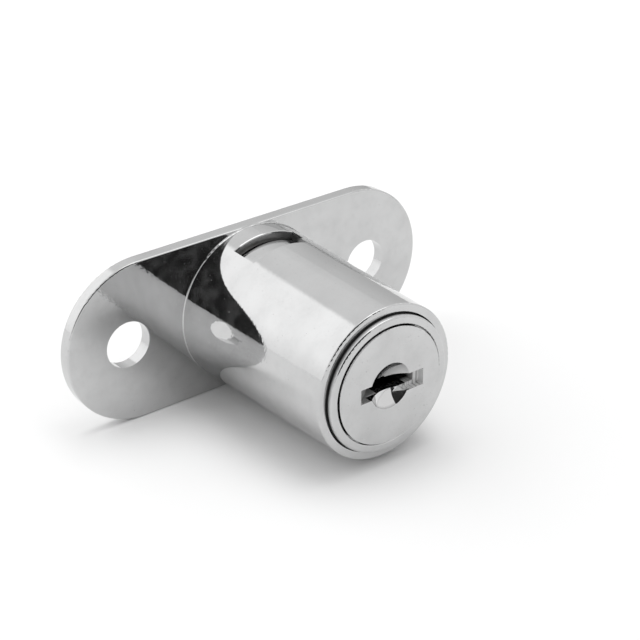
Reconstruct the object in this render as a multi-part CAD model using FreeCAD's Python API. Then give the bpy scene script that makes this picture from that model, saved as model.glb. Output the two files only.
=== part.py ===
"""Push-in drawer lock: oval flange, round housing, sliding barrel, wafer plug and half-moon latch.

Millimetres.  X runs along the flange, -Y points out of the drawer front towards the key, and +Z is
the side with the latch window.  The origin is on the axis of the housing tube, in the front face of
the flange, which is the face that seats on the wood.  The lock is drawn pushed in and locked.
"""
import FreeCAD, Part
import math
import os
from FreeCAD import Vector

# Flange
flange_length = 54.0
flange_width = 21.3
flange_thickness = 1.7
flange_edge_round = 0.2
screw_hole_spacing = 37.0
screw_hole_radius = 3.05

# Housing tube, cast with a little draft towards its lip
tube_length = 26.2
tube_foot_inset = 0.15
tube_draft = 0.6
lip_wall = 1.07
lip_length = 2.8
lip_round = 0.2
lip_inner_round = 0.12
tube_foot_depth = 0.4
tube_foot_fillet = 0.15
shoulder_step = 0.37

# Window in the top of the tube that the latch springs into
window_width = 9.0
window_length = 3.96
window_from_flange = 2.7
window_bevel = 0.09

# Guide rib along the bottom of the bore
rib_width = 2.0
rib_height = 0.5
rib_end_gap = 0.6

# Rear cap, held by staked lumps of the housing
cap_thickness = 1.0
cap_seat_step = 0.45
stake_count = 4
stake_radius = 0.9

# Barrel
barrel_travel = 8.0
barrel_proud = 0.76
mouth_gap = 0.13
slide_clearance = 0.05
barrel_face_round = 0.28
barrel_recess_round = 0.12
travel_stop_gap = 0.1

# Plug
barrel_face_ring = 1.05
plug_face_thickness = 2.15
plug_proud = 0.2
plug_face_gap = 0.14
plug_face_round = 0.06
plug_shoulder = 1.91
plug_clearance = 0.05
plug_rear_from_barrel_rear = 4.3
plug_groove_depth = 1.0
eccentric = 2.0
eccentric_pin_radius = 0.8
eccentric_pin_rim = 0.2
plug_turn_degrees = 90.0

# Keyway, two half slots set one above the other, with a dished middle and a stepped mouth
keyway_left_end = 2.3
keyway_right_end = 4.05
keyway_left_span = (-1.0, 0.9)
keyway_right_span = (-1.0, 0.68)
keyway_mouth_left_end = 4.4
keyway_mouth_right_end = 5.0
keyway_mouth_right_bottom = -1.5
keyway_mouth_depth = 0.84
keyway_ramp_start = 0.35
keyway_ramp_end = 1.75
dish_radius = 2.95
dish_depth = 1.25

# Retaining pin across the barrel, in the groove of the plug
retaining_pin_radius = 0.6
retaining_pin_reach = 2.5
retaining_pin_from_plug_rear = 1.7

# Wafers
wafer_count = 6
wafer_thickness = 1.0
wafer_from_face_plate = 1.9
wafer_from_groove = 2.4
wafer_end_inset = 0.1
wafer_half_height = 2.25
wafer_travel = 0.9
wafer_window_end_inset = 2.8
wafer_window_margin = 0.1
broach_gap = 0.4
bitting = (2, 0, 3, 1, 2, 0)
bitting_step = 0.35
lug_inner = 0.9
lug_length = 1.0
lug_height = 1.45
wafer_spring_seat = 2.9
wafer_spring_radius = 0.4
wafer_spring_wire = 0.1
wafer_spring_turns = 5

# Latch
latch_end_gap = 0.1
latch_rear_gap = 0.66
latch_rise = 0.3
latch_crown_round = 0.15
latch_depth_below_axis = 2.0
latch_side_gap = 0.06
latch_front_margin = 0.1
latch_pin_gap = 0.1
latch_spring_packed = 2.2
latch_spring_radius = 0.6
latch_spring_wire = 0.15
latch_spring_turns = 6

# Bolt
bolt_radius = 3.5
bolt_guide_step = 0.3
bolt_guide_past_flange = 0.3
bolt_plate_thickness = 1.4
bolt_reach = 8.0
bolt_tip_chamfer = 0.5
bolt_clearance = 0.1
bolt_screw_angle = 28.6
bolt_screw_rim = 0.1
bolt_screw_radius = 1.0
bolt_screw_length = 5.4
bolt_screw_head_radius = 1.5
bolt_screw_head_height = 0.8
bolt_screw_slot = 0.4

# Main springs that push the barrel out
main_spring_angle = -26.6
main_spring_rim = 0.55
main_spring_radius = 1.1
main_spring_wire = 0.2
main_spring_turns = 7
main_spring_hole_gap = 0.15

# Small values shared by several pieces
same_body_gap = 0.02
face_gap = 0.05
loose_gap = 0.1
thin_wall = 0.3
past = 1.0

# Radii worked out from the sizes above
tube_foot_radius = flange_width / 2 - tube_foot_inset
tube_lip_radius = tube_foot_radius - tube_draft
mouth_radius = tube_lip_radius - lip_wall
bore_radius = mouth_radius + shoulder_step
cap_seat_radius = bore_radius + cap_seat_step
head_radius = mouth_radius - mouth_gap
collar_radius = bore_radius - slide_clearance
rib_inner_radius = bore_radius - rib_height
face_recess_radius = head_radius - barrel_face_ring
plug_face_radius = face_recess_radius - plug_face_gap
plug_radius = plug_face_radius - plug_shoulder
plug_bore_radius = plug_radius + plug_clearance
plug_groove_radius = plug_radius - plug_groove_depth
plug_tail_radius = eccentric + eccentric_pin_radius + eccentric_pin_rim
tail_bore_radius = plug_tail_radius + plug_clearance
bolt_plate_radius = collar_radius - loose_gap
bolt_guide_radius = bolt_radius + bolt_guide_step

# Stations along Y, the front of the lock being negative
lip_y = -tube_length
shoulder_y = lip_y + lip_length
face_y = lip_y - barrel_proud
plug_face_y = face_y - plug_proud
collar_front_y = shoulder_y + barrel_travel + travel_stop_gap
face_plate_rear_y = face_y + plug_face_thickness
recess_floor_y = face_plate_rear_y + face_gap
bolt_tip_y = flange_thickness + bolt_reach
cap_rear_y = flange_thickness - thin_wall
cap_front_y = cap_rear_y - cap_thickness
window_rear_y = -window_from_flange
window_front_y = window_rear_y - window_length

# The latch drops by the height between the two ends of the eccentric pin's quarter turn, and the
# barrel must not carry its crown to the front edge of the window before it has dropped by its rise.
half_turn = math.radians(plug_turn_degrees / 2)
latch_travel = 2 * eccentric * math.sin(half_turn)
pin_rest_x = eccentric * math.cos(half_turn)
pin_rest_z = eccentric * math.sin(half_turn)
latch_front_y = window_front_y + barrel_travel * latch_rise / latch_travel + latch_front_margin
latch_rear_y = window_rear_y - latch_rear_gap
latch_half_width = window_width / 2 - latch_end_gap
latch_pocket_front_y = latch_front_y - latch_side_gap
latch_pocket_floor = latch_depth_below_axis + latch_travel + latch_spring_packed
barrel_rear_y = latch_rear_y + latch_side_gap
bolt_plate_rear_y = barrel_rear_y + bolt_plate_thickness
plug_rear_y = barrel_rear_y - plug_rear_from_barrel_rear
plug_bore_rear_y = plug_rear_y + loose_gap
tail_rear_y = latch_pocket_front_y - latch_pin_gap
eccentric_pin_rear_y = barrel_rear_y - 2 * latch_pin_gap
retaining_pin_y = plug_rear_y - retaining_pin_from_plug_rear
plug_groove_half = retaining_pin_radius + face_gap

# The wafers stand evenly between the face plate of the plug and its groove
first_wafer_y = recess_floor_y + wafer_from_face_plate
last_wafer_y = retaining_pin_y - plug_groove_half - wafer_from_groove
wafer_pitch = (last_wafer_y - first_wafer_y) / (wafer_count - 1)
wafer_half_length = math.sqrt((plug_radius - wafer_end_inset) ** 2 - wafer_half_height ** 2)
wafer_slot_half = wafer_thickness / 2 + face_gap
wafer_slot_top = wafer_half_height + face_gap
wafer_window_length = 2 * (plug_radius - wafer_window_end_inset)
broach_reach = wafer_half_length + wafer_travel + broach_gap
broach_half_height = wafer_half_height + thin_wall

# The main springs and the bolt screws stand in a ring near the skin of the collar
main_spring_hole_radius = main_spring_radius + main_spring_wire + main_spring_hole_gap
main_spring_floor_y = plug_bore_rear_y + thin_wall
main_spring_ring = collar_radius - main_spring_hole_radius - main_spring_rim
main_spring_x = main_spring_ring * math.cos(math.radians(main_spring_angle))
main_spring_z = main_spring_ring * math.sin(math.radians(main_spring_angle))
bolt_screw_ring = bolt_plate_radius - bolt_screw_head_radius - bolt_screw_rim
bolt_screw_x = bolt_screw_ring * math.cos(math.radians(bolt_screw_angle))
bolt_screw_z = bolt_screw_ring * math.sin(math.radians(bolt_screw_angle))


def rod(radius, front_y, rear_y, x=0.0, z=0.0):
    """A round bar along Y."""
    return Part.makeCylinder(radius, rear_y - front_y, Vector(x, front_y, z), Vector(0, 1, 0))


def block(x_span, y_span, z_span):
    """A rectangular block between two limits along each axis."""
    size = [high - low for low, high in (x_span, y_span, z_span)]
    return Part.makeBox(*size, Vector(x_span[0], y_span[0], z_span[0]))


def edges_at_y(shape, y):
    """The edges that lie wholly in one plane across Y."""
    return [edge for edge in shape.Edges
            if abs(edge.BoundBox.YMin - y) < 1e-6 and abs(edge.BoundBox.YMax - y) < 1e-6]


def rims_at_y(shape, y, radius):
    """The round edges of one radius that lie in one plane across Y."""
    return [edge for edge in edges_at_y(shape, y)
            if isinstance(edge.Curve, Part.Circle) and abs(edge.Curve.Radius - radius) < 1e-6]


def oval_plate(length, width, front_y, rear_y):
    """A plate with straight long sides and half-round ends."""
    half = width / 2
    centre = length / 2 - half
    corners = [Vector(x, front_y, z) for x, z in
               ((-centre, half), (centre, half), (centre, -half), (-centre, -half))]
    right_end = Vector(centre + half, front_y, 0)
    left_end = Vector(-centre - half, front_y, 0)
    outline = [Part.makeLine(corners[0], corners[1]),
               Part.Arc(corners[1], right_end, corners[2]).toShape(),
               Part.makeLine(corners[2], corners[3]),
               Part.Arc(corners[3], left_end, corners[0]).toShape()]
    return Part.Face(Part.Wire(outline)).extrude(Vector(0, rear_y - front_y, 0))


def arc_from_corner(start, corner, end):
    """The arc that leaves start and reaches end tangent to the two legs of a corner."""
    chord_middle = (start + end) * 0.5
    half_chord = (end - start).Length / 2
    to_corner = corner - chord_middle
    lean = math.atan2(to_corner.Length, half_chord)
    top = chord_middle + to_corner * (half_chord * math.tan(lean / 2) / to_corner.Length)
    return Part.Arc(start, top, end).toShape()


def coil_spring(start, axis, across, length, radius, wire, turns):
    """A coil spring along an axis: one unbroken wire on pairs of tangent arcs, four to a turn."""
    third = axis.cross(across)
    rise = (length - 2 * wire) / turns

    def place(angle):
        around = across * math.cos(angle) + third * math.sin(angle)
        return start + axis * (wire + rise * angle / (2 * math.pi)) + around * radius

    def heading(angle):
        around = third * math.cos(angle) - across * math.sin(angle)
        direction = around * radius + axis * (rise / (2 * math.pi))
        return direction.normalize()

    edges = []
    quarter = math.pi / 2
    for step in range(turns * 4):
        first, last = place(step * quarter), place((step + 1) * quarter)
        leave, arrive = heading(step * quarter), heading((step + 1) * quarter)
        span = last - first
        square = 2 * (leave.dot(arrive) - 1)
        linear = -2 * span.dot(leave + arrive)
        reach = (-linear - math.sqrt(linear ** 2 - 4 * square * span.dot(span))) / (2 * square)
        corner_one = first + leave * abs(reach)
        corner_two = last - arrive * abs(reach)
        joint = (corner_one + corner_two) * 0.5
        edges.append(arc_from_corner(first, corner_one, joint))
        edges.append(arc_from_corner(joint, corner_two, last))
    path = Part.Wire(edges)
    section = Part.Wire([Part.makeCircle(wire, place(0), heading(0))])
    spring = path.makePipeShell([section], True, False)
    expected = math.pi * wire ** 2 * path.Length
    gap = rise * math.cos(math.atan2(rise, 2 * math.pi * radius)) - 2 * wire
    print("spring: volume over section times length %.4f, least gap between turns %.2f mm"
          % (spring.Volume / expected, gap))
    return spring


def main_spring_places():
    """The two main springs, left and right of the latch pocket."""
    return (("left", -main_spring_x), ("right", main_spring_x))


def bolt_screw_places():
    """The two screws of the bolt, left and right."""
    return (("left", -bolt_screw_x), ("right", bolt_screw_x))


def wafer_side(index):
    """Wafers spring out to the right and to the left in turn."""
    return 1 if index % 2 == 0 else -1


def wafer_y(index):
    """The middle of a wafer along Y."""
    return first_wafer_y + index * wafer_pitch


def window_bevel_cut(edge_y, outwards):
    """The bevel along one outer edge of the window, which opens towards -Y or +Y."""
    skin = tube_foot_radius + tube_draft * edge_y / tube_length
    corners = [Vector(radius, y, 0) for radius, y in
               ((skin - window_bevel, edge_y), (skin + past, edge_y),
                (skin + past, edge_y + outwards * (window_bevel + past)))]
    ring = Part.Face(Part.makePolygon(corners + corners[:1]))
    ring = ring.revolve(Vector(0, 0, 0), Vector(0, 1, 0), 360)
    return ring.common(block((-window_width / 2, window_width / 2), (lip_y, flange_thickness),
                             (0, tube_foot_radius + 2 * past)))


def foot_fillet():
    """The fillet between tube and flange, which runs out at the long edges of the flange."""
    start = Vector(tube_foot_radius - tube_draft * tube_foot_fillet / tube_length,
                   -tube_foot_fillet, 0)
    end = Vector(tube_foot_radius + tube_foot_fillet, 0, 0)
    hollow = arc_from_corner(start, Vector(tube_foot_radius, 0, 0), end)
    rear = Part.makePolygon([end, Vector(end.x, tube_foot_depth, 0),
                             Vector(start.x - thin_wall, tube_foot_depth, 0),
                             Vector(start.x - thin_wall, start.y, 0), start])
    ring = Part.Face(Part.Wire([hollow] + rear.Edges))
    ring = ring.revolve(Vector(0, 0, 0), Vector(0, 1, 0), 360)
    return ring.common(oval_plate(flange_length, flange_width, -past, tube_foot_depth))


def make_housing():
    """Oval flange and tube in one casting, with bore, window, rib and staked lumps."""
    flange = oval_plate(flange_length, flange_width, 0, flange_thickness)
    rims = edges_at_y(flange, 0) + edges_at_y(flange, flange_thickness)
    flange = flange.makeFillet(flange_edge_round, rims)
    tube = Part.makeCone(tube_lip_radius, tube_foot_radius, tube_length,
                         Vector(0, lip_y, 0), Vector(0, 1, 0))
    tube = tube.makeFillet(min(lip_round, lip_wall / 2), edges_at_y(tube, lip_y))
    housing = flange.fuse(tube).fuse(foot_fillet())
    cuts = [rod(mouth_radius, lip_y - past, shoulder_y + past),
            rod(bore_radius, shoulder_y, flange_thickness + past),
            rod(cap_seat_radius, cap_front_y, flange_thickness + past),
            block((-window_width / 2, window_width / 2), (window_front_y, window_rear_y),
                  (bore_radius / 2, tube_foot_radius + past)),
            window_bevel_cut(window_front_y, -1), window_bevel_cut(window_rear_y, 1)]
    for x in (-screw_hole_spacing / 2, screw_hole_spacing / 2):
        cuts.append(rod(screw_hole_radius, -past, flange_thickness + past, x))
    for cut in cuts:
        housing = housing.cut(cut)
    housing = housing.makeFillet(lip_inner_round, rims_at_y(housing, lip_y, mouth_radius))
    rib = block((-rib_width / 2, rib_width / 2), (shoulder_y + rib_end_gap, -rib_end_gap),
                (-bore_radius - thin_wall, -rib_inner_radius))
    housing = housing.fuse(rib)
    for index in range(stake_count):
        angle = 2 * math.pi * (index + 0.5) / stake_count
        x = cap_seat_radius * math.cos(angle)
        z = cap_seat_radius * math.sin(angle)
        housing = housing.fuse(rod(stake_radius, cap_rear_y, flange_thickness, x, z))
    return housing.removeSplitter()


def make_rear_cap():
    """Round cap in the rear of the bore, with the hole that guides the bolt."""
    cap = rod(cap_seat_radius - face_gap, cap_front_y, cap_rear_y)
    return cap.cut(rod(bolt_guide_radius + bolt_clearance, cap_front_y - past, cap_rear_y + past))


def latch_pocket():
    """The space in the barrel that the latch slides in, open at the top and the rear."""
    half = latch_half_width + latch_side_gap
    return block((-half, half), (latch_pocket_front_y, barrel_rear_y + past),
                 (-latch_pocket_floor, collar_radius + past))


def rib_groove():
    """The groove that the guide rib of the housing runs in."""
    half = rib_width / 2 + loose_gap
    return block((-half, half), (collar_front_y - past, past),
                 (-bore_radius - past, -rib_inner_radius + loose_gap))


def make_barrel():
    """Sliding barrel: narrow head in the mouth, wider collar behind, and everything bored in it."""
    head = rod(head_radius, face_y, collar_front_y)
    head = head.makeFillet(barrel_face_round, edges_at_y(head, face_y))
    barrel = head.fuse(rod(collar_radius, collar_front_y, barrel_rear_y))
    cuts = [rod(face_recess_radius, face_y - past, recess_floor_y),
            rod(plug_bore_radius, face_y - past, plug_bore_rear_y),
            rod(tail_bore_radius, plug_rear_y - past, latch_pocket_front_y + past),
            latch_pocket(), rib_groove()]
    y_span = (wafer_y(0) - wafer_slot_half - thin_wall,
              wafer_y(wafer_count - 1) + wafer_slot_half + thin_wall)
    reach_span = (-broach_reach, broach_reach)
    height_span = (-broach_half_height, broach_half_height)
    cuts.append(block(reach_span, y_span, height_span))
    cuts.append(block(height_span, y_span, reach_span))
    for side, x in main_spring_places():
        cuts.append(rod(main_spring_hole_radius, main_spring_floor_y, barrel_rear_y + past,
                        x, main_spring_z))
    for side, x in bolt_screw_places():
        cuts.append(rod(bolt_screw_radius + same_body_gap,
                        bolt_plate_rear_y - bolt_screw_length - same_body_gap,
                        barrel_rear_y + past, x, bolt_screw_z))
    cuts.append(retaining_pin_rod(retaining_pin_radius + same_body_gap, past, same_body_gap))
    for cut in cuts:
        barrel = barrel.cut(cut)
    barrel = barrel.removeSplitter()
    return barrel.makeFillet(barrel_recess_round, rims_at_y(barrel, face_y, face_recess_radius))


def retaining_pin_rod(radius, beyond_left=0.0, beyond_right=0.0):
    """A bar along X across the lower side of the plug groove, from the collar's skin inwards."""
    z = -(plug_groove_radius + retaining_pin_radius + same_body_gap)
    left = -math.sqrt(collar_radius ** 2 - (-z + retaining_pin_radius) ** 2) - beyond_left
    right = retaining_pin_reach + beyond_right
    return Part.makeCylinder(radius, right - left, Vector(left, retaining_pin_y, z),
                             Vector(1, 0, 0))


def make_bolt():
    """Plate across the rear of the barrel with the round bolt that stands out of the cap."""
    plate = rod(bolt_plate_radius, barrel_rear_y, bolt_plate_rear_y)
    guide = rod(bolt_guide_radius, barrel_rear_y, flange_thickness + bolt_guide_past_flange)
    pin = rod(bolt_radius, barrel_rear_y, bolt_tip_y)
    pin = pin.makeChamfer(bolt_tip_chamfer, edges_at_y(pin, bolt_tip_y))
    bolt = plate.fuse(guide).fuse(pin).cut(rib_groove())
    for side, x in main_spring_places():
        bolt = bolt.cut(rod(main_spring_hole_radius, barrel_rear_y - past,
                            bolt_plate_rear_y + past, x, main_spring_z))
    for side, x in bolt_screw_places():
        bolt = bolt.cut(rod(bolt_screw_radius + loose_gap, barrel_rear_y - past,
                            bolt_plate_rear_y + past, x, bolt_screw_z))
    return bolt.removeSplitter()


def make_bolt_screw(x):
    """Cheese-head screw from the bolt plate into the barrel."""
    head_rear_y = bolt_plate_rear_y + bolt_screw_head_height
    head = rod(bolt_screw_head_radius, bolt_plate_rear_y, head_rear_y, x, bolt_screw_z)
    shank = rod(bolt_screw_radius, bolt_plate_rear_y - bolt_screw_length, bolt_plate_rear_y,
                x, bolt_screw_z)
    slot = block((x - bolt_screw_head_radius - past, x + bolt_screw_head_radius + past),
                 (head_rear_y - bolt_screw_head_height / 2, head_rear_y + past),
                 (bolt_screw_z - bolt_screw_slot / 2, bolt_screw_z + bolt_screw_slot / 2))
    return head.fuse(shank).cut(slot).removeSplitter()


def wafer_pocket(index):
    """The slot across the plug for one wafer, its lug and its spring."""
    y_span = (wafer_y(index) - wafer_slot_half, wafer_y(index) + wafer_slot_half)
    slot = block((-plug_radius - past, plug_radius + past), y_span,
                 (-wafer_slot_top, wafer_slot_top))
    lug_end = lug_inner + lug_length + wafer_travel + loose_gap
    x_span = sorted((-wafer_spring_seat * wafer_side(index), lug_end * wafer_side(index)))
    lug_space = block(x_span, y_span, (0, wafer_half_height + lug_height + loose_gap))
    return slot.fuse(lug_space)


def keyway_ramp():
    """The left end of the mouth, whose floor slopes down to the keyway."""
    low, high = keyway_left_span
    front_y = plug_face_y - past
    floor_y = plug_face_y + keyway_ramp_end
    sections = [(-keyway_mouth_left_end, front_y), (0, front_y), (0, floor_y),
                (-keyway_left_end, floor_y),
                (-keyway_mouth_left_end, plug_face_y + keyway_ramp_start)]
    outline = Part.makePolygon([Vector(x, y, low) for x, y in sections + sections[:1]])
    return Part.Face(outline).extrude(Vector(0, 0, high - low))


def make_plug():
    """Wafer plug: round face, grooved body, and a tail with the eccentric pin for the latch."""
    plug = rod(plug_face_radius, plug_face_y, face_plate_rear_y)
    plug = plug.makeFillet(plug_face_round, edges_at_y(plug, plug_face_y))
    plug = plug.fuse(rod(plug_radius, face_plate_rear_y - past, plug_rear_y))
    groove = rod(plug_radius + past, retaining_pin_y - plug_groove_half,
                 retaining_pin_y + plug_groove_half)
    plug = plug.cut(groove.cut(rod(plug_groove_radius, plug_face_y, plug_rear_y)))
    plug = plug.fuse(rod(plug_tail_radius, plug_rear_y - past, tail_rear_y))
    plug = plug.fuse(rod(eccentric_pin_radius, tail_rear_y - past, eccentric_pin_rear_y,
                         pin_rest_x, pin_rest_z))
    keyway_rear_y = wafer_y(wafer_count - 1) + wafer_slot_half + thin_wall
    depth = (plug_face_y - past, keyway_rear_y)
    mouth = (plug_face_y - past, plug_face_y + keyway_mouth_depth)
    plug = plug.cut(block((-keyway_left_end, 0), depth, keyway_left_span))
    plug = plug.cut(block((-past, keyway_right_end), depth, keyway_right_span))
    plug = plug.cut(keyway_ramp())
    plug = plug.cut(block((0, keyway_mouth_right_end), mouth,
                          (keyway_mouth_right_bottom, keyway_right_span[1])))
    ball_radius = (dish_radius ** 2 + dish_depth ** 2) / (2 * dish_depth)
    ball_y = plug_face_y + dish_depth - ball_radius
    plug = plug.cut(Part.makeSphere(ball_radius, Vector(0, ball_y, 0)))
    for index in range(wafer_count):
        plug = plug.cut(wafer_pocket(index))
    return plug.removeSplitter()


def make_wafer(index):
    """Flat wafer with its key window and the lug that its spring pushes."""
    y_span = (wafer_y(index) - wafer_thickness / 2, wafer_y(index) + wafer_thickness / 2)
    wafer = block((-wafer_half_length, wafer_half_length), y_span,
                  (-wafer_half_height, wafer_half_height))
    lug_x = sorted((lug_inner * wafer_side(index), (lug_inner + lug_length) * wafer_side(index)))
    wafer = wafer.fuse(block(lug_x, y_span, (0, wafer_half_height + lug_height)))
    middle = (keyway_right_end - keyway_left_end) / 2
    middle += (bitting[index] - sum(bitting) / len(bitting)) * bitting_step
    window_low = min(keyway_left_span[0], keyway_right_span[0]) - wafer_window_margin
    window_high = max(keyway_left_span[1], keyway_right_span[1]) + wafer_window_margin
    window = block((middle - wafer_window_length / 2, middle + wafer_window_length / 2),
                   (y_span[0] - past, y_span[1] + past), (window_low, window_high))
    return wafer.cut(window).removeSplitter()


def make_wafer_spring(index):
    """Small coil spring between its seat in the plug and the lug of its wafer."""
    side = wafer_side(index)
    start = Vector(-wafer_spring_seat * side, wafer_y(index), wafer_half_height + lug_height / 2)
    return coil_spring(start, Vector(side, 0, 0), Vector(0, 0, 1), wafer_spring_seat + lug_inner,
                       wafer_spring_radius, wafer_spring_wire, wafer_spring_turns)


def make_latch():
    """Half-moon latch: crowned top, flat sides, and a level slot for the eccentric pin."""
    crown_centre_z = latch_rise + slide_clearance
    shoulder_z = crown_centre_z + math.sqrt(collar_radius ** 2 - latch_half_width ** 2)
    corners = [Vector(x, latch_front_y, z) for x, z in
               ((-latch_half_width, shoulder_z), (latch_half_width, shoulder_z),
                (latch_half_width, -latch_depth_below_axis),
                (-latch_half_width, -latch_depth_below_axis))]
    crown = Vector(0, latch_front_y, crown_centre_z + collar_radius)
    outline = [Part.Arc(corners[0], crown, corners[1]).toShape(),
               Part.makeLine(corners[1], corners[2]),
               Part.makeLine(corners[2], corners[3]),
               Part.makeLine(corners[3], corners[0])]
    latch = Part.Face(Part.Wire(outline)).extrude(Vector(0, latch_rear_y - latch_front_y, 0))
    rims = [edge for y in (latch_front_y, latch_rear_y)
            for edge in rims_at_y(latch, y, collar_radius)]
    latch = latch.makeFillet(latch_crown_round, rims)
    reach = eccentric_pin_radius + latch_pin_gap
    slot = block((pin_rest_x - reach, eccentric + reach),
                 (latch_front_y - past, latch_rear_y + past),
                 (pin_rest_z - reach, pin_rest_z + reach))
    return latch.cut(slot)


def make_latch_spring():
    """Coil spring that holds the latch up, on the floor of its pocket."""
    start = Vector(0, (latch_front_y + latch_rear_y) / 2, -latch_pocket_floor)
    return coil_spring(start, Vector(0, 0, 1), Vector(1, 0, 0),
                       latch_pocket_floor - latch_depth_below_axis,
                       latch_spring_radius, latch_spring_wire, latch_spring_turns)


def make_main_spring(x):
    """Coil spring from its blind hole in the barrel to the rear cap."""
    start = Vector(x, main_spring_floor_y, main_spring_z)
    return coil_spring(start, Vector(0, 1, 0), Vector(0, 0, 1), cap_front_y - main_spring_floor_y,
                       main_spring_radius, main_spring_wire, main_spring_turns)


def make_all():
    """Every piece of the lock by its name."""
    pieces = {"housing": make_housing(),
              "rear_cap": make_rear_cap(),
              "barrel": make_barrel(),
              "bolt": make_bolt(),
              "plug": make_plug(),
              "plug_retaining_pin": retaining_pin_rod(retaining_pin_radius),
              "latch": make_latch(),
              "latch_spring": make_latch_spring()}
    for side, x in bolt_screw_places():
        pieces["bolt_screw_" + side] = make_bolt_screw(x)
    for side, x in main_spring_places():
        pieces["main_spring_" + side] = make_main_spring(x)
    for index in range(wafer_count):
        pieces["wafer_%d" % (index + 1)] = make_wafer(index)
        pieces["wafer_spring_%d" % (index + 1)] = make_wafer_spring(index)
    return pieces


os.makedirs("parts", exist_ok=True)
for name, shape in make_all().items():
    box = shape.BoundBox
    print("%-20s solids %d valid %s volume %9.3f  x %.2f..%.2f  y %.2f..%.2f  z %.2f..%.2f"
          % (name, len(shape.Solids), shape.isValid(), shape.Volume, box.XMin, box.XMax,
             box.YMin, box.YMax, box.ZMin, box.ZMax))
    shape.exportStep("parts/%s.step" % name)
print("latch travel %.4f mm, latch front at y %.3f, rear at y %.3f"
      % (latch_travel, latch_front_y, latch_rear_y))
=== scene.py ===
# %% [markdown]
# # Dressing a push-in drawer lock in bright chrome
#
# The lock is a small furniture lock: an oval flange with two screw holes, a round tube that goes through
# the drawer front, and a keyed barrel inside the tube that springs out when the key is turned.
# Its pieces come to Blender as finished solids at their real size, so this notebook is about light and
# finish.  Chrome has almost no colour of its own.  What we see in it is the room, so the room matters as
# much as the metal.

# %% Load the solids of the lock
import math

import bpy
from mathutils import Matrix, Vector


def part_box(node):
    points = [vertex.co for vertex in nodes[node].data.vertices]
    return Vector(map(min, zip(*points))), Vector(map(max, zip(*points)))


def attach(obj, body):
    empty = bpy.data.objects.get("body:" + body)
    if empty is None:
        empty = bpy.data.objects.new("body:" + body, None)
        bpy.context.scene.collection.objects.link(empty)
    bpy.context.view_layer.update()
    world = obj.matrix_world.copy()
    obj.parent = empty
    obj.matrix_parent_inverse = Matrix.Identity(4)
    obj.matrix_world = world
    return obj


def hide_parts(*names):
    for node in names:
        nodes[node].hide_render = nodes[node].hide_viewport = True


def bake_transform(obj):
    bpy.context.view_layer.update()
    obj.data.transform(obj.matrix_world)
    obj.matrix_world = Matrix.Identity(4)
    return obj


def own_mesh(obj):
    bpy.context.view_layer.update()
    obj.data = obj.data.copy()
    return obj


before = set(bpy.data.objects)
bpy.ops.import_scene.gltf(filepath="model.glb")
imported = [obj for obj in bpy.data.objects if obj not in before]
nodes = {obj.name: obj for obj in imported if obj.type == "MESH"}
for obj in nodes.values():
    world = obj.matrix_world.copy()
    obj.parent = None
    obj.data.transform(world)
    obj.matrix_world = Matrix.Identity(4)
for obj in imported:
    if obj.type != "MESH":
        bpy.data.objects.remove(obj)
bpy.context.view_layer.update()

mm = 0.001
print("pieces:", len(nodes))

# %% [markdown]
# ## Places that the looks depend on
#
# The lock stands on the long edge of its flange, so the floor is at the lowest point of that edge.
# The front is towards -Y: there the housing ends with the lip of its tube, and the face of the plug stands
# a little further out.  We could type these places in, but read from the solids they stay right when the
# lock is built to other measures.

# %% Measure the floor, the lip and the face
floor_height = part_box("housing")[0].z
lip_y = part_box("housing")[0].y
face_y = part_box("plug")[0].y
print("floor at %.2f mm" % (floor_height / mm))
print("lip at %.2f mm, face at %.2f mm" % (lip_y / mm, face_y / mm))

# %% [markdown]
# ## The camera
#
# The photograph looks down on the lock from its front left.  A camera could be aimed by eye, but here the
# angles are known, so we give the direction as two angles, put the camera back along it from a
# point near the middle of the lock, and choose the lens that gives the photograph's perspective.
# The image is square, so the sensor width is also its height.

# %% Place the camera
camera_turn = math.radians(38.197)
camera_drop = math.radians(27.946)
camera_target = Vector((6.016, -6.288, -2.030)) * mm
camera_distance = 223.0 * mm
view_direction = Vector((math.sin(camera_turn) * math.cos(camera_drop),
                         math.cos(camera_turn) * math.cos(camera_drop),
                         -math.sin(camera_drop)))

camera_data = bpy.data.cameras.new("camera")
camera_data.sensor_width = 36.0
camera_data.lens = 99.127
camera_data.clip_start = 0.01
camera_data.clip_end = 20.0
camera = bpy.data.objects.new("camera", camera_data)
camera.location = camera_target - view_direction * camera_distance
camera.rotation_euler = view_direction.to_track_quat("-Z", "Y").to_euler()
bpy.context.scene.collection.objects.link(camera)
bpy.context.scene.camera = camera
bpy.context.scene.view_settings.view_transform = "Standard"
print("camera at", [round(value / mm, 1) for value in camera.location], "mm")

# %% [markdown]
# ## Starting a finish
#
# Every finish below is a Principled shader with a few texture nodes in front of it.  Each node tree could
# be wired by hand, but the same steps come back every time, so they are helpers, and a finish reads as a
# short recipe.  Textures use object coordinates, which here are metres in the frame of the lock, so a
# grain of 0.2 mm stays 0.2 mm on every piece.


# %% Start a material
def new_finish(name):
    """A new material, its node tree and its Principled shader."""
    finish = bpy.data.materials.new(name)
    finish.use_nodes = True
    tree = finish.node_tree
    return finish, tree, tree.nodes["Principled BSDF"]


def place_in_metres(tree):
    """Object coordinates, which are metres here."""
    return tree.nodes.new("ShaderNodeTexCoord").outputs["Object"]


def feed(tree, value, socket):
    """Gives a socket a number or a link, whichever it is handed."""
    if hasattr(value, "is_linked"):
        tree.links.new(value, socket)
    else:
        socket.default_value = value


def set_look(tree, shader, colour, roughness):
    """Hands the shader the colour and the roughness of a finish."""
    tree.links.new(colour, shader.inputs["Base Color"])
    tree.links.new(roughness, shader.inputs["Roughness"])


print("a finish starts with new_finish and ends with set_look")

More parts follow.
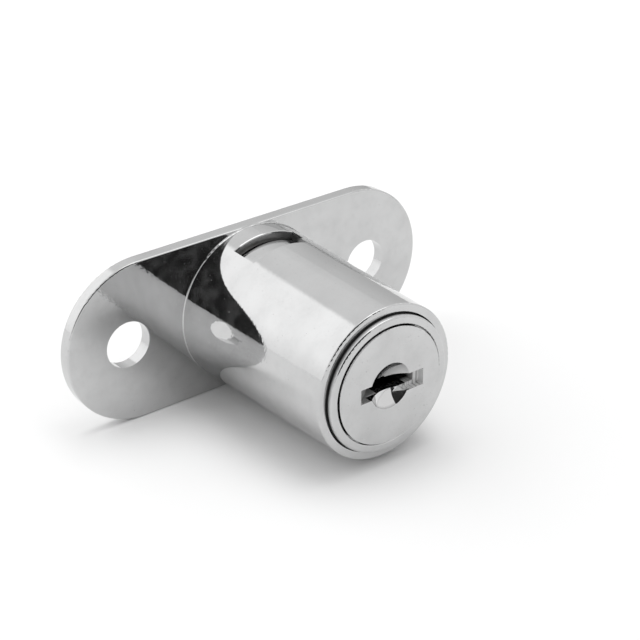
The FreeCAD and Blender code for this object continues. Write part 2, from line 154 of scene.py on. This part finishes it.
# %% [markdown]
# ## Arithmetic with nodes
#
# A shader has no lines of arithmetic: every sum and every product is a node of its own.  We could place
# them one by one, but as functions they read like the sums they are.  Many values here are masks, which
# are 1 where something is true and 0 elsewhere.  The product of two masks is 1 only where both are true.


# %% Sums and products
def combine(tree, operation, first, second=0.0):
    """One step of arithmetic on two values, each a number or an output."""
    node = tree.nodes.new("ShaderNodeMath")
    node.operation = operation
    feed(tree, first, node.inputs[0])
    feed(tree, second, node.inputs[1])
    return node.outputs["Value"]


def add(tree, first, *others):
    """The sum of two or more values."""
    for other in others:
        first = combine(tree, "ADD", first, other)
    return first


def multiply(tree, first, *others):
    """The product of two or more values."""
    for other in others:
        first = combine(tree, "MULTIPLY", first, other)
    return first


print("values combine with add and multiply")

# %% [markdown]
# ## Ranges and blends
#
# A noise texture gives values round 0.5 that seldom leave 0.3 to 0.7.  To make something of it, we move
# that range to the one that a finish needs.  A colour ramp could do it too, but a map range node is
# plain numbers in and out.  A blend goes from one colour to another by such a value.


# %% Move a range and blend two colours
def spread(tree, value, low, high, from_low=0.3, from_high=0.7, ease="LINEAR"):
    """The same value, moved from one range to another and kept inside it."""
    node = tree.nodes.new("ShaderNodeMapRange")
    node.interpolation_type = ease
    node.inputs["From Min"].default_value = from_low
    node.inputs["From Max"].default_value = from_high
    node.inputs["To Min"].default_value = low
    node.inputs["To Max"].default_value = high
    tree.links.new(value, node.inputs["Value"])
    return node.outputs["Result"]


def blend_colours(tree, amount, first, second):
    """A colour between two, by an amount from 0 to 1."""
    mix = tree.nodes.new("ShaderNodeMix")
    mix.data_type = "RGBA"
    tree.links.new(amount, mix.inputs["Factor"])
    for name, colour in (("A", first), ("B", second)):
        socket = [item for item in mix.inputs if item.name == name and item.type == "RGBA"][0]
        feed(tree, colour if hasattr(colour, "is_linked") else (*colour, 1.0), socket)
    return [item for item in mix.outputs if item.type == "RGBA"][0]


print("ranges move with spread, and colours mix with blend_colours")

# %% [markdown]
# ## Marks on a surface
#
# Marks come in two kinds: clouds, which look the same in every direction, and tool marks, which run in
# lines.  Painted pictures could show both, but noise stays sharp at any distance.  Clouds are noise in
# three dimensions, and lines are noise that changes along one distance only.  A bump makes either of
# them catch the light as if it had height.


# %% Noise at a real size
def noise(tree, place, grain_size, detail=2.0):
    """Cloudy noise whose lumps are about grain_size across."""
    texture = tree.nodes.new("ShaderNodeTexNoise")
    texture.inputs["Scale"].default_value = 1.0 / grain_size
    texture.inputs["Detail"].default_value = detail
    tree.links.new(place, texture.inputs["Vector"])
    return texture.outputs["Fac"]


def lines(tree, distance, pitch, detail=3.0):
    """Noise that changes along one distance only, as the marks of a tool do."""
    texture = tree.nodes.new("ShaderNodeTexNoise")
    texture.noise_dimensions = "1D"
    texture.inputs["Scale"].default_value = 1.0 / pitch
    texture.inputs["Detail"].default_value = detail
    tree.links.new(distance, texture.inputs["W"])
    return texture.outputs["Fac"]


def raise_surface(tree, shader, height, depth):
    """Bump from a height that runs from 0 to 1, where 1 stands depth metres above 0."""
    bump = tree.nodes.new("ShaderNodeBump")
    bump.inputs["Strength"].default_value = 1.0
    bump.inputs["Distance"].default_value = depth
    tree.links.new(height, bump.inputs["Height"])
    tree.links.new(bump.outputs["Normal"], shader.inputs["Normal"])


print("textures keep their real size")

# %% [markdown]
# ## The skin under the chrome
#
# Plating is thin and shows every unevenness of the polished zinc casting under it.  The polishing wheel
# leaves a slow ripple, a finer unevenness frays the edges of reflections, and gas from the casting leaves
# a few pin holes.  All of it could be carved into the mesh, but it is only a few thousandths of a
# millimetre high, so a bump is enough.

# %% Ripple and pin holes
pin_hole_size = 0.22 * mm
pin_hole_range = (0.755, 0.80)
pin_hole_depth = 0.8
ripple_size = 2.6 * mm
ripple_height = 0.0024 * mm
fray_size = 0.45 * mm
fray_height = 1.6


def find_pin_holes(tree, place):
    """1 where a fine noise peaks, which it does at a few points only."""
    return spread(tree, noise(tree, place, pin_hole_size, detail=1.0), 0.0, 1.0, *pin_hole_range)


def ripple_surface(tree, shader, place, pin_hole):
    """The slow ripple, the finer unevenness on it and the pin holes in it."""
    ripple = noise(tree, place, ripple_size, detail=1.0)
    fray = multiply(tree, noise(tree, place, fray_size, detail=2.0), fray_height)
    height = combine(tree, "SUBTRACT", add(tree, ripple, fray), multiply(tree, pin_hole, pin_hole_depth))
    raise_surface(tree, shader, height, ripple_height)


print("ripple %.4f mm high, %.1f mm wide" % (ripple_height / mm, ripple_size / mm))

# %% [markdown]
# ## Chrome plating
#
# Real chrome reflects about six tenths of the light that falls on it.  It could be one metallic shader
# with a low roughness, but that looks like a computer mirror.  Real plating also has a haze that comes and
# goes, smears from fingers, and a thin film and specks of dust that show up in the dark reflections.  Each
# is one noise at its own size.  Under the film the shader is a little less than fully metallic, because
# dust scatters light as paint does.

# %% Mix the chrome
chrome_white = (0.600, 0.602, 0.603)
smeared_white = tuple(0.91 * part for part in chrome_white)
smear_size = 4.0 * mm
pin_hole_grey = (0.24, 0.24, 0.24)
pin_hole_roughness = 0.25
film_size = 2.0 * mm
film_range = (0.46, 0.72)
film_metal = 0.93
haze_size = 3.0 * mm
dust_size = 0.31 * mm
dust_range = (0.73, 0.80)
dust_roughness = 0.5


def chrome_parts(name, haze=(0.030, 0.065)):
    """Bright plating, and the colour and roughness that a variant may change."""
    finish, tree, shader = new_finish(name)
    place = place_in_metres(tree)
    pin_hole = find_pin_holes(tree, place)
    ripple_surface(tree, shader, place, pin_hole)
    film = noise(tree, place, film_size, detail=6.0)
    tree.links.new(spread(tree, film, 1.0, film_metal, *film_range), shader.inputs["Metallic"])
    smear = spread(tree, noise(tree, place, smear_size, detail=5.0), 0.0, 1.0)
    colour = blend_colours(tree, smear, chrome_white, smeared_white)
    colour = blend_colours(tree, pin_hole, colour, pin_hole_grey)
    cloud = spread(tree, noise(tree, place, haze_size, detail=4.0), *haze)
    dust = spread(tree, noise(tree, place, dust_size, detail=2.0), 0.0, dust_roughness, *dust_range)
    roughness = add(tree, cloud, multiply(tree, pin_hole, pin_hole_roughness), dust)
    return finish, tree, shader, colour, roughness


print("chrome reflects %.2f of the light, and %.2f where smeared" % (chrome_white[0], smeared_white[0]))

# %% [markdown]
# ## Where on the lock a point is
#
# Some finishes change from place to place: the tube is dull on its inside only, and the barrel on its
# flank only.  Groups of faces with materials of their own could show that, but they would change the
# mesh.  Four distances say as much: x, y and z, and how far a point is from the axis of the tube.


# %% Distances in the lock
def along(tree, place):
    """The three distances x, y and z of a place."""
    split = tree.nodes.new("ShaderNodeSeparateXYZ")
    tree.links.new(place, split.inputs["Vector"])
    return [split.outputs[axis] for axis in "XYZ"]


def away_from_axis(tree, x, z):
    """Distance from the axis of the tube."""
    return combine(tree, "SQRT", add(tree, multiply(tree, x, x), multiply(tree, z, z)))


def between(tree, value, low, high):
    """1 where a value lies between two limits, and 0 outside."""
    above = combine(tree, "GREATER_THAN", value, low)
    return multiply(tree, above, combine(tree, "LESS_THAN", value, high))


print("the axis is %.2f mm above the floor" % (-floor_height / mm))

# %% [markdown]
# ## The barrel and the latch, which rub
#
# The front of the barrel is a bright ring, but its flank slides in the tube each time the lock opens.  The
# plating there is rubbed dull, and next to the lip of the tube a dark line of painted shade stands for the
# shade in the gap.  The crown of the latch rubs in its window and has a heavier haze.  The flank is told
# by its distance from the axis, and the painted shade by its distance from the lip.  A dark ring could be
# modelled in the gap instead, but the painted shade sits on the barrel and slides with it.

# %% Rub the barrel and the latch
flank_radius = 8.66 * mm
rubbed_share = 0.5
rubbed_roughness = 0.30
latch_haze = (0.07, 0.12)
# painted shade: a dark line on the barrel stands for the shade in the gap next to the lip
gap_shade_black = (0.03, 0.03, 0.03)
gap_shade_starts = (lip_y - 0.42 * mm, lip_y - 0.18 * mm)
gap_shade_ends = (lip_y + 0.05 * mm, lip_y + 0.40 * mm)


def dull(tree, shader, amount, share):
    """Takes a share of the metal away where amount is 1, as a rubbed or torn surface scatters light."""
    metal = shader.inputs["Metallic"].links[0].from_socket
    left_over = combine(tree, "SUBTRACT", 1.0, multiply(tree, amount, share))
    tree.links.new(multiply(tree, metal, left_over), shader.inputs["Metallic"])


def barrel_finish(name):
    """Bright chrome, rubbed dull on the flank, with a line of painted shade next to the lip."""
    finish, tree, shader, colour, roughness = chrome_parts(name)
    x, y, z = along(tree, place_in_metres(tree))
    rubbed = combine(tree, "GREATER_THAN", away_from_axis(tree, x, z), flank_radius)
    # painted shade of the gap, on the flank next to the lip
    gap_shade = multiply(tree, spread(tree, y, 0.0, 1.0, *gap_shade_starts),
                     spread(tree, y, 1.0, 0.0, *gap_shade_ends))
    dull(tree, shader, rubbed, rubbed_share)
    set_look(tree, shader, blend_colours(tree, multiply(tree, rubbed, gap_shade), colour, gap_shade_black),
             add(tree, roughness, multiply(tree, rubbed, rubbed_roughness)))
    return finish


def latch_finish(name):
    """Chrome with a heavier haze."""
    finish, tree, shader, colour, roughness = chrome_parts(name, haze=latch_haze)
    set_look(tree, shader, colour, roughness)
    return finish


barrel_chrome = barrel_finish("barrel_chrome")
latch_chrome = latch_finish("latch_chrome")
# the printed range is that of the painted shade of the gap
print("grime on the barrel from %.2f to %.2f mm" % (gap_shade_starts[0] / mm, gap_shade_ends[1] / mm))

# %% [markdown]
# ## The housing, with its raw inside
#
# The casting is polished on its outside only.  The bore and the walls of the window are as they came from
# the mould and the reamer, and plating goes on thinly there, so they look dull.  Their darker grey is
# partly that thin plating and partly painted shade of the bore.  We could split the mesh into outside and
# inside,
# but a distance does it: every point that lies deeper than a quarter of a millimetre under the outer skin
# of the tube gets the dull, darker finish.  The skin is found from the flange, which stands out a little
# beyond the foot of the tube, and from the slight taper of the tube.

# %% Finish the housing
flange_overhang = 0.15 * mm
narrower_at_lip = 0.6 * mm
foot_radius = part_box("housing")[1].z - flange_overhang
taper = narrower_at_lip / -lip_y
skin_depth = 0.25 * mm
polished_lip = 0.8 * mm
# darker grey inside the tube: thin plating, and painted shade of the bore
raw_and_shaded_grey = (0.34, 0.34, 0.34)
raw_roughness = 0.32


def housing_finish(name):
    """Bright chrome outside, and dull thinly plated metal inside the tube, darkened partly as painted
    shade.
    """
    finish, tree, shader, colour, roughness = chrome_parts(name)
    x, y, z = along(tree, place_in_metres(tree))
    skin = add(tree, multiply(tree, y, taper), foot_radius)
    depth = combine(tree, "SUBTRACT", skin, away_from_axis(tree, x, z))
    inside = multiply(tree, combine(tree, "GREATER_THAN", depth, skin_depth),
                      combine(tree, "GREATER_THAN", y, lip_y + polished_lip))
    # the inside gets the darker grey, partly painted shade
    set_look(tree, shader, blend_colours(tree, inside, colour, raw_and_shaded_grey),
             add(tree, roughness, multiply(tree, inside, raw_roughness)))
    return finish


housing_chrome = housing_finish("housing_chrome")
print("tube %.2f mm wide at its foot" % (2 * foot_radius / mm))

# %% [markdown]
# ## The regions of the plug
#
# The face of the plug is polished and plated with the rest, but three places differ: the mouth of the
# keyway on both sides of the bowl, the sloping floor at its left, and the bowl itself.  They could be
# selected by hand and given materials of their own.  Instead we describe each one by its distance from
# the middle and its depth below the face, which holds for any mesh of the same plug.

# %% Find the regions of the plug
bowl_radius = 2.95 * mm
bowl_depth = 1.25 * mm
mouth_end = 5.2 * mm
mouth_half = 1.7 * mm
just_under_face = 0.06 * mm
left_floor_end = -1.3 * mm
left_floor_depths = (1.0 * mm, 3.2 * mm)


def find_left_floor(tree, x, depth):
    """The floor that slopes down into the slot on the left."""
    return multiply(tree, between(tree, depth, *left_floor_depths),
                    between(tree, x, -mouth_end, left_floor_end))


def find_mouth(tree, x, z, depth, left_floor):
    """The broached mouth of the keyway, with the floor on its left."""
    sideways = between(tree, combine(tree, "ABSOLUTE", x), bowl_radius, mouth_end)
    in_height = between(tree, z, -mouth_half, mouth_half)
    under_face = combine(tree, "GREATER_THAN", depth, just_under_face)
    walls = multiply(tree, sideways, in_height, under_face)
    return combine(tree, "MAXIMUM", walls, multiply(tree, left_floor, in_height))


print("bowl up to %.2f mm from the axis, mouth up to %.2f mm" % (bowl_radius / mm, mouth_end / mm))

# %% [markdown]
# ## The broached mouth
#
# A broach cuts the keyway and leaves dull walls with fine lines across them.  The metal is bright at the
# far left end and grey further in on the left, where the grey is painted shade.  On the right it is
# bright again, with the dark edges of torn metal.  Grooves could be modelled, but at a tenth of a
# millimetre lines of noise look the same and cost nothing.

# %% Colour the broached metal
broached_bright = (0.74, 0.74, 0.74)
# grey of the torn lines, and painted shade on the left of the mouth
torn_and_shaded_grey = (0.30, 0.30, 0.30)
line_pitch = 0.30 * mm
torn_range = (0.50, 0.60)
torn_darkness = 0.8
bright_end = (-4.25 * mm, -3.95 * mm)
left_shade_fade = (-2.0 * mm, 2.0 * mm)


def broached_metal(tree, x, cut_lines):
    """Bright metal, with painted shade on the left, crossed by dark lines."""
    # painted shade: grey on the left of the mouth, fading out towards the right
    left_shade = multiply(tree, spread(tree, x, 0.0, 1.0, *bright_end), spread(tree, x, 1.0, 0.0, *left_shade_fade))
    torn = spread(tree, cut_lines, 0.0, torn_darkness, *torn_range)
    return blend_colours(tree, combine(tree, "MAXIMUM", left_shade, torn), broached_bright, torn_and_shaded_grey)


print("lines of the broach about %.2f mm apart" % (line_pitch / mm))

# %% [markdown]
# ## The bowl
#
# The dish in the middle of the plug gets painted shade and painted light.  Its upper half is painted
# darker, most of all on the left, and its lower half painted brighter, where a thin grey line of painted
# shade marks the rim.  A round reflection could give some of this, but it would wander with the view, and
# the painted colour doesn't.

# %% Shade the bowl
# painted shade and painted light of the bowl
bowl_shade_grey = (0.22, 0.22, 0.22)
bowl_light = (0.65, 0.65, 0.65)
bowl_top = 0.01 * mm
upper_half = (0.3 * mm, 0.8 * mm)
lower_half = (-1.0 * mm, -0.4 * mm)
upper_shade_range = (0.95, 0.25)
upper_shade_fade = (-0.8 * mm, 2.2 * mm)
rim_width = 0.28 * mm
rim_shade_share = 0.6


def shade_bowl(tree, x, z, depth, colour):
    """The colour of the face, with painted shade and painted light inside the bowl."""
    from_axis = away_from_axis(tree, x, z)
    bowl = multiply(tree, combine(tree, "LESS_THAN", from_axis, bowl_radius),
                    between(tree, depth, bowl_top, bowl_depth))
    upper = multiply(tree, bowl, spread(tree, z, 0.0, 1.0, *upper_half))
    # painted shade on the upper half of the bowl, most of all on the left
    upper_shade = multiply(tree, upper, spread(tree, x, *upper_shade_range, *upper_shade_fade))
    colour = blend_colours(tree, upper_shade, colour, bowl_shade_grey)
    # painted light on the lower half of the bowl
    lower = multiply(tree, bowl, spread(tree, z, 1.0, 0.0, *lower_half))
    colour = blend_colours(tree, lower, colour, bowl_light)
    # painted shade: a thin grey line at the rim
    rim_shade = spread(tree, from_axis, 0.0, rim_shade_share, bowl_radius - rim_width, bowl_radius)
    return blend_colours(tree, multiply(tree, lower, rim_shade), colour, bowl_shade_grey)


print("bowl %.2f mm deep" % (bowl_depth / mm))

# %% [markdown]
# ## The plug
#
# Little light reaches down into the slot of the key, so the slot is painted nearly black inside, as
# painted shade.  A black piece could fill it, but depth below the face tells the same thing: the deeper a
# point lies, the darker (painted shade) and duller it is.  The floor on the left stays out of the painted
# shade, as light falls on it.  With the regions, the broached metal and the bowl at hand, the finish of
# the plug is a list of layers.

# %% Finish the plug
# painted shade: the slot is painted nearly black where little light reaches
slot_shade_black = (0.012, 0.012, 0.012)
slot_roughness = 0.5
slot_shade_from = bowl_depth + 0.10 * mm
slot_shade_to = bowl_depth + 0.75 * mm
torn_share = 0.8
torn_roughness = (0.26, 0.44)


def plug_finish(name):
    """Bright chrome on the face, broached metal in the mouth and painted shade in the slot."""
    finish, tree, shader, colour, roughness = chrome_parts(name)
    x, y, z = along(tree, place_in_metres(tree))
    depth = combine(tree, "SUBTRACT", y, face_y)
    left_floor = find_left_floor(tree, x, depth)
    mouth = find_mouth(tree, x, z, depth, left_floor)
    cut_lines = lines(tree, x, line_pitch)
    colour = blend_colours(tree, mouth, colour, broached_metal(tree, x, cut_lines))
    colour = shade_bowl(tree, x, z, depth, colour)
    dull(tree, shader, mouth, torn_share)
    # painted shade, growing with depth under the face, kept off the lit floor on the left
    slot_shade = multiply(tree, spread(tree, depth, 0.0, 1.0, slot_shade_from, slot_shade_to),
                    combine(tree, "SUBTRACT", 1.0, left_floor))
    rough_cut = multiply(tree, mouth, spread(tree, cut_lines, *torn_roughness))
    set_look(tree, shader, blend_colours(tree, slot_shade, colour, slot_shade_black),
             add(tree, roughness, rough_cut, multiply(tree, slot_shade, slot_roughness)))
    return finish


plug_chrome = plug_finish("plug_chrome")
# prints the depth at which the painted shade of the slot is full
print("plug dark from %.2f mm under its face" % (slot_shade_to / mm))

# %% [markdown]
# ## Steel and brass inside and behind
#
# The pieces that nobody sees from the front are plain metal.  The bolt is turned on a lathe, so its marks
# are rings round its own axis.  The cap is pressed from rolled sheet with a matt zinc coat, the screws are
# turned and the pin is ground, the springs are drawn wire, and the wafers are stamped from brass.  All use
# one recipe with a different direction for the tool marks, because that direction is what tells turned
# from rolled metal.

# %% Mix the plain metals
patch_size = 1.5 * mm
patch_dulls_to = 0.82
sheen_change = 0.06


def tooled_metal(name, colour, roughness, pitch, direction, depth=0.0012 * mm):
    """Bare or thinly plated metal with tool marks: direction is rings, x or z."""
    finish, tree, shader = new_finish(name)
    shader.inputs["Metallic"].default_value = 1.0
    place = place_in_metres(tree)
    x, y, z = along(tree, place)
    if direction == "rings":
        distance = add(tree, away_from_axis(tree, x, z), y)
    else:
        distance = {"x": x, "z": z}[direction]
    marks = lines(tree, distance, pitch)
    patches = spread(tree, noise(tree, place, patch_size, detail=4.0), 0.0, 1.0)
    duller = tuple(patch_dulls_to * part for part in colour)
    sheen = spread(tree, marks, roughness - sheen_change, roughness + sheen_change)
    set_look(tree, shader, blend_colours(tree, patches, colour, duller),
             add(tree, sheen, multiply(tree, patches, sheen_change)))
    raise_surface(tree, shader, marks, depth)
    return finish


cap_steel = tooled_metal("cap_steel", (0.36, 0.37, 0.38), 0.34, 0.12 * mm, "x", depth=0.0020 * mm)
bolt_steel = tooled_metal("bolt_steel", (0.45, 0.45, 0.44), 0.22, 0.09 * mm, "rings")
screw_steel = tooled_metal("screw_steel", (0.34, 0.34, 0.35), 0.32, 0.10 * mm, "rings")
pin_steel = tooled_metal("pin_steel", (0.34, 0.34, 0.35), 0.25, 0.06 * mm, "x")
spring_steel = tooled_metal("spring_steel", (0.22, 0.22, 0.23), 0.30, 0.05 * mm, "z")
wafer_brass = tooled_metal("wafer_brass", (0.57, 0.32, 0.08), 0.30, 0.08 * mm, "z")
for metal in (cap_steel, bolt_steel, screw_steel, pin_steel, spring_steel, wafer_brass):
    print("%s: %d nodes" % (metal.name, len(metal.node_tree.nodes)))

# %% [markdown]
# ## Dressing the solids
#
# Every solid has material slots that came with it.  We could model new pieces round them, but the shape
# is meant to stay exactly what the lock was built with, so we keep the mesh and only put a finish in the
# slots.

# %% Give every solid its finish
finishes = {"housing": housing_chrome, "barrel": barrel_chrome, "plug": plug_chrome,
            "latch": latch_chrome, "rear_cap": cap_steel, "bolt": bolt_steel,
            "plug_retaining_pin": pin_steel}


def finish_for(node):
    """The finish of a solid, by its own name or by the kind of piece it is."""
    if node in finishes:
        return finishes[node]
    if "spring" in node:
        return spring_steel
    if "screw" in node:
        return screw_steel
    return wafer_brass


for node in nodes:
    for slot in nodes[node].material_slots:
        slot.material = finish_for(node)
print("dressed:", ", ".join("%s in %s" % (node, finish_for(node).name) for node in sorted(nodes)))

# %% [markdown]
# ## The springs that change length
#
# A wound spring changes its length when the lock moves, and a solid can't.  The spring under the latch
# gets shorter by as much as the latch drops; a copy of its mesh, with a mesh of its own, stands in for the
# solid and rides with the barrel.  The two main springs get longer as the barrel slides out; a copy of
# each stands in for its solid, with its place written into its mesh.


def stand_in(node, body=None):
    """A copy of the mesh of a solid, which is shown in its place."""
    copy = bpy.data.objects.new(node + "_coil", nodes[node].data.copy())
    copy.matrix_world = nodes[node].matrix_world.copy()
    bpy.context.scene.collection.objects.link(copy)
    if body:
        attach(copy, body)
    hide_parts(node)
    return copy


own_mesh(stand_in("latch_spring", "barrel"))

for side in ("left", "right"):
    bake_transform(stand_in("main_spring_" + side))

# %% [markdown]
# ## The floor
#
# A pale floor under the flange gives the chrome its soft greys and takes the shadow of the lock.  A curved
# studio sheet would do as well, but seen from above a wide flat one looks the same.

# %% Lay the floor
floor_size = 8.0
floor_grey = (0.90, 0.90, 0.90, 1.0)


def staged(name, mesh, finish):
    """A piece of the studio, which is no part of the lock."""
    piece = bpy.data.objects.new(name, mesh)
    mesh.materials.append(finish)
    bpy.context.scene.collection.objects.link(piece)
    return piece


def flat_panel(name, width, height, finish):
    """A flat panel round its own middle, facing +Z."""
    mesh = bpy.data.meshes.new(name)
    corners = [(-width / 2, -height / 2, 0), (width / 2, -height / 2, 0),
               (width / 2, height / 2, 0), (-width / 2, height / 2, 0)]
    mesh.from_pydata(corners, [], [(0, 1, 2, 3)])
    return staged(name, mesh, finish)


floor_paint, _, floor_shader = new_finish("floor_paint")
floor_shader.inputs["Base Color"].default_value = floor_grey
floor_shader.inputs["Roughness"].default_value = 0.9
floor_shader.inputs["Specular IOR Level"].default_value = 0.1
floor = flat_panel("floor", floor_size, floor_size, floor_paint)
floor.location.z = floor_height
print("floor %.0f m wide, at %.2f mm" % (floor_size, floor.location.z / mm))

# %% [markdown]
# ## The room
#
# The room is one even sky.  A light tent like this is how shiny hardware is photographed.  Its cloth looks
# bright in the chrome but sheds less light than it shows, so the sky has one strength for reflections and
# the camera and a lower one for the light on the floor.  One strength for both would be simpler, but then
# either the chrome would be too dark or the shadow of the lock too weak.

# %% Build the sky
room_light = 0.95
room_fill = 0.58

world = bpy.data.worlds.new("room")
world.use_nodes = True
world_tree = world.node_tree
sky = world_tree.nodes["Background"]
sky.inputs["Color"].default_value = (1.0, 1.0, 1.0, 1.0)
ray = world_tree.nodes.new("ShaderNodeLightPath")
seen = combine(world_tree, "MAXIMUM", ray.outputs["Is Camera Ray"], ray.outputs["Is Glossy Ray"])
seen = combine(world_tree, "MAXIMUM", seen, ray.outputs["Is Transmission Ray"])
world_tree.links.new(spread(world_tree, seen, room_fill, room_light, 0.0, 1.0), sky.inputs["Strength"])
bpy.context.scene.world = world
print("the sky shows %.2f and sheds %.2f" % (room_light, room_fill))

# %% [markdown]
# ## What stands round the lock
#
# Five things shape the chrome: a soft box, a grey screen, a black cloth and two lamps.  Each stands off
# from the lock in some direction and faces it.  The glowing ones fade to the light of the room towards
# their edges, because a hard border would show in the chrome as a corner.


# %% Helpers for the panels
def stand(piece, direction, distance, sideways):
    """Stands a panel off from the lock in a direction, facing it, with its own X along sideways."""
    facing = Vector(direction).normalized()
    across = (Vector(sideways) - facing * facing.dot(Vector(sideways))).normalized()
    up = facing.cross(across)
    turned = Matrix((across, up, facing)).transposed().to_4x4()
    piece.matrix_world = Matrix.Translation(facing * distance) @ turned


def only_for_reflections(piece):
    """Lets the chrome see a panel, but neither the camera nor the floor."""
    piece.visible_camera = False
    piece.visible_diffuse = False
    piece.visible_shadow = False


def glowing_cloth(name):
    """A cloth that only glows, its node tree and its shader."""
    finish, tree, shader = new_finish(name)
    shader.inputs["Base Color"].default_value = (0.0, 0.0, 0.0, 1.0)
    shader.inputs["Specular IOR Level"].default_value = 0.0
    shader.inputs["Emission Color"].default_value = (1.0, 1.0, 1.0, 1.0)
    return finish, tree, shader


def glow(tree, shader, amount, level):
    """Glows at level where amount is 1, and at the light of the room where it is 0."""
    tree.links.new(spread(tree, amount, room_light, level, 0.0, 1.0),
                   shader.inputs["Emission Strength"])


print("a cloth fades to %.2f, as bright as the room" % room_light)

# %% [markdown]
# ## The soft box
#
# The broad white streak along the tube is the reflection of a large soft box, behind the lock on the left
# and above it.  A lamp could make the streak, but its edges would be hard.  A glowing cloth can fade as
# it should: quickly at its upper edge, slowly at its lower one and evenly to both sides.

# %% Hang the soft box
box_level = 1.42
box_width = 1.10
box_height = 1.02
upper_edge = (-0.41, -0.34)
lower_fade = (0.10, 0.42)
lower_share = 0.45
side_fade = (0.36, 0.50)

cloth, tree, shader = glowing_cloth("soft_box_cloth")
x, y = along(tree, place_in_metres(tree))[:2]
amount = multiply(tree, spread(tree, x, 0.0, 1.0, *upper_edge, "SMOOTHSTEP"),
                  spread(tree, x, 1.0, lower_share, *lower_fade, "SMOOTHSTEP"),
                  spread(tree, combine(tree, "ABSOLUTE", y), 1.0, 0.0, *side_fade, "SMOOTHSTEP"))
glow(tree, shader, amount, box_level)
soft_box = flat_panel("soft_box", box_width, box_height, cloth)
stand(soft_box, direction=(-0.527, 0.694, 0.491), distance=0.60, sideways=(-0.682, 0.0, -0.731))
soft_box.visible_camera = False
print("soft box at", [round(value, 2) for value in soft_box.location], "m")

# %% [markdown]
# ## The grey screen
#
# On the far side of the tube the reflection falls off to a soft grey.  Leaving the room dark there would
# darken the floor too, so a grey screen stands behind the lock on the right, darkest in its middle and
# gone at its edges, and only the chrome sees it.

# %% Stand the grey screen
screen_level = 0.56
screen_size = 1.04
screen_reach = 0.50

cloth, tree, shader = glowing_cloth("grey_screen_cloth")
x, y = along(tree, place_in_metres(tree))[:2]
from_middle = combine(tree, "SQRT", add(tree, multiply(tree, x, x), multiply(tree, y, y)))
glow(tree, shader, spread(tree, from_middle, 1.0, 0.0, 0.0, screen_reach), screen_level)
grey_screen = flat_panel("grey_screen", screen_size, screen_size, cloth)
stand(grey_screen, direction=(0.72, 0.694, 0.0), distance=0.60, sideways=(0.694, -0.72, 0.0))
only_for_reflections(grey_screen)
print("grey screen at", [round(value, 2) for value in grey_screen.location], "m")

# %% [markdown]
# ## The black cloth
#
# Chrome looks like chrome only with something black in it.  A black cloth stands where the photographer
# stands and makes the deep dark patches where flange and tube mirror each other.  Black paint on the
# metal could draw them, but they have to move with the view as a reflection does.

# %% Stand the black cloth
cloth_width = 0.54
cloth_height = 0.56
cloth_shift = Vector((-0.04, 0.0, 0.05))

cloth, _, shader = new_finish("black_cloth")
shader.inputs["Base Color"].default_value = (0.015, 0.015, 0.015, 1.0)
shader.inputs["Roughness"].default_value = 1.0
black_cloth = flat_panel("black_cloth", cloth_width, cloth_height, cloth)
stand(black_cloth, direction=(-0.306, -0.942, 0.139), distance=0.40, sideways=(1.0, 0.0, 0.0))
black_cloth.location += cloth_shift
only_for_reflections(black_cloth)
print("black cloth at", [round(value, 2) for value in black_cloth.location], "m")

# %% [markdown]
# ## The lamps
#
# A lamp overhead draws the thin bright lines on the edges.  The ceiling light gives the lock its soft
# shadow, which darkens the underside of the tube.  It isn't seen in the chrome, because a second bright
# square there would spoil the even top of the tube.  A sun would give the shadow too, but with a hard
# edge.


# %% Hang the lamps
def hang_lamp(name, direction, distance, size, watts):
    """A square area lamp that faces the lock."""
    lamp_data = bpy.data.lights.new(name, "AREA")
    lamp_data.shape = "SQUARE"
    lamp_data.size = size
    lamp_data.energy = watts
    lamp = bpy.data.objects.new(name, lamp_data)
    facing = Vector(direction).normalized()
    lamp.location = facing * distance
    lamp.rotation_euler = facing.to_track_quat("Z", "Y").to_euler()
    bpy.context.scene.collection.objects.link(lamp)
    print(name, "at", [round(value, 2) for value in lamp.location], "m")
    return lamp


hang_lamp("edge_lamp", direction=(0.25, -0.30, 0.92), distance=0.60, size=0.42, watts=0.55)
ceiling_light = hang_lamp("ceiling_light", direction=(0.14, 0.10, 0.89), distance=0.60,
                          size=0.40, watts=1.3)
ceiling_light.visible_glossy = False
